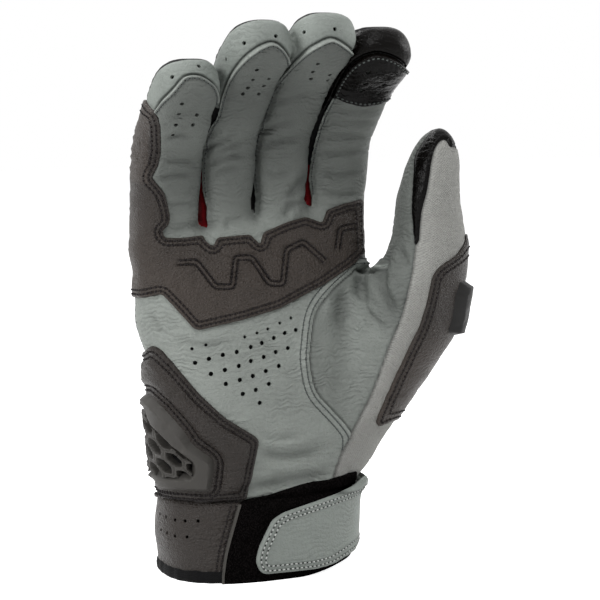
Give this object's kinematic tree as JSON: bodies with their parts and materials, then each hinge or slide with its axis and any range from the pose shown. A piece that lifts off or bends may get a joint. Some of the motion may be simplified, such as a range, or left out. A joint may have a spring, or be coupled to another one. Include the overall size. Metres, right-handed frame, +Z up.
{
  "type": "motorcycle glove",
  "caption": "Short-cuff leather motorcycle glove for the right hand with palm slider, thumb armour, padded knuckle guard, touch fingertip and hook-and-loop wrist strap.",
  "frame": {"origin": "middle of the footprint of the whole glove, on the plane that its hem stands on", "axes": "+Z up to the fingertips, -Y the way the palm faces, +X the thumb side"},
  "size_m": [0.144, 0.078, 0.2293],
  "materials": {
    "pale_leather": "grained, matt",
    "dark_leather": "grained, matt",
    "black_leather": "smooth",
    "moulded": "satin moulded",
    "pale_cloth": "woven",
    "dark_cloth": "knitted stretch",
    "red_cloth": "knitted stretch",
    "hook_and_loop": "hook and loop",
    "binding": "woven tape",
    "lining": "brushed lining"
  },
  "bodies": {
    "hand": {"palm_panel": "pale_leather", "thumb_gore_panel": "pale_leather", "thumb_cloth_panel": "pale_cloth", "back_panel": "pale_cloth", "cuff_palm_panel": "dark_leather", "cuff_back_panel": "dark_cloth", "hem_binding": "binding", "hand_liner": "lining", "palm_patch": "dark_leather", "heel_patch": "dark_leather", "thumb_patch": "dark_leather", "palm_slider": "moulded", "slider_window": "moulded", "thumb_armour": "moulded", "knuckle_guard_base": "dark_leather", "knuckle_guard": "moulded", "loop_patch": "hook_and_loop", "strap_root": "pale_leather", "strap_bend": "pale_leather", "knuckle_band_palm": "pale_leather", "knuckle_band_back": "dark_cloth", "palm_patch_fold": "dark_leather", "thumb_bend": "pale_leather"},
    "strap": {"strap": "pale_leather", "strap_hook": "hook_and_loop"},
    "fingers": {"finger_row_palm": "pale_leather", "finger_row_back": "dark_cloth", "pinky_ring_fourchette": "red_cloth", "ring_middle_fourchette": "dark_cloth", "middle_index_fourchette": "red_cloth", "pinky_root_patch": "dark_leather", "palm_patch_top": "dark_leather", "pinky_bend": "dark_cloth", "ring_bend": "dark_cloth", "middle_bend": "dark_cloth", "index_bend": "dark_cloth"},
    "pinky_tip": {"pinky_pad": "pale_leather", "pinky_back": "dark_cloth", "pinky_cap": "pale_leather", "pinky_side_patch": "dark_leather"},
    "ring_tip": {"ring_pad": "pale_leather", "ring_back": "dark_cloth", "ring_cap": "pale_leather"},
    "middle_tip": {"middle_pad": "pale_leather", "middle_back": "dark_cloth", "middle_cap": "pale_leather"},
    "index_tip": {"index_pad": "pale_leather", "index_back": "dark_cloth", "index_cap": "black_leather", "index_touch_patch": "black_leather"},
    "thumb_tip": {"thumb_cloth_stall": "pale_cloth", "thumb_pad": "pale_leather", "thumb_cap": "black_leather"}
  },
  "joints": [
    {"name": "knuckle_fold", "type": "hinge", "parent": "hand", "child": "fingers", "pos_m": [-0.01667, 0.01055, 0.133], "axis": [1, 0, 0], "range_deg": [-15, 35], "stiffness_Nm_per_rad": 1, "deforming": ["knuckle_band_palm", "knuckle_band_back", "palm_patch_fold"]},
    {"name": "pinky_bend_joint", "type": "hinge", "parent": "fingers", "child": "pinky_tip", "pos_m": [-0.05767, 0.00529, 0.17416], "axis": [1, 0, 0], "range_deg": [-15, 35], "stiffness_Nm_per_rad": 0.15, "deforming": ["pinky_bend"]},
    {"name": "ring_bend_joint", "type": "hinge", "parent": "fingers", "child": "ring_tip", "pos_m": [-0.03347, 0.00466, 0.18013], "axis": [1, 0, 0], "range_deg": [-15, 35], "stiffness_Nm_per_rad": 0.15, "deforming": ["ring_bend"]},
    {"name": "middle_bend_joint", "type": "hinge", "parent": "fingers", "child": "middle_tip", "pos_m": [-0.01037, 0.00456, 0.18112], "axis": [1, 0, 0], "range_deg": [-15, 35], "stiffness_Nm_per_rad": 0.15, "deforming": ["middle_bend"]},
    {"name": "index_bend_joint", "type": "hinge", "parent": "fingers", "child": "index_tip", "pos_m": [0.01513, 0.00477, 0.17913], "axis": [1, 0, 0], "range_deg": [-15, 35], "stiffness_Nm_per_rad": 0.15, "deforming": ["index_bend"]},
    {"name": "thumb_bend_joint", "type": "hinge", "parent": "hand", "child": "thumb_tip", "pos_m": [0.04893, -0.01685, 0.1435], "axis": [-0.6428, 0.766, 0], "range_deg": [-18, 12], "stiffness_Nm_per_rad": 0.15, "deforming": ["thumb_bend"]},
    {"name": "strap_peel", "type": "hinge", "parent": "hand", "child": "strap", "pos_m": [0.02583, 0.00405, 0.02], "axis": [0, 0, 1], "range_deg": [0, 110], "deforming": ["strap_bend"]}
  ]
}
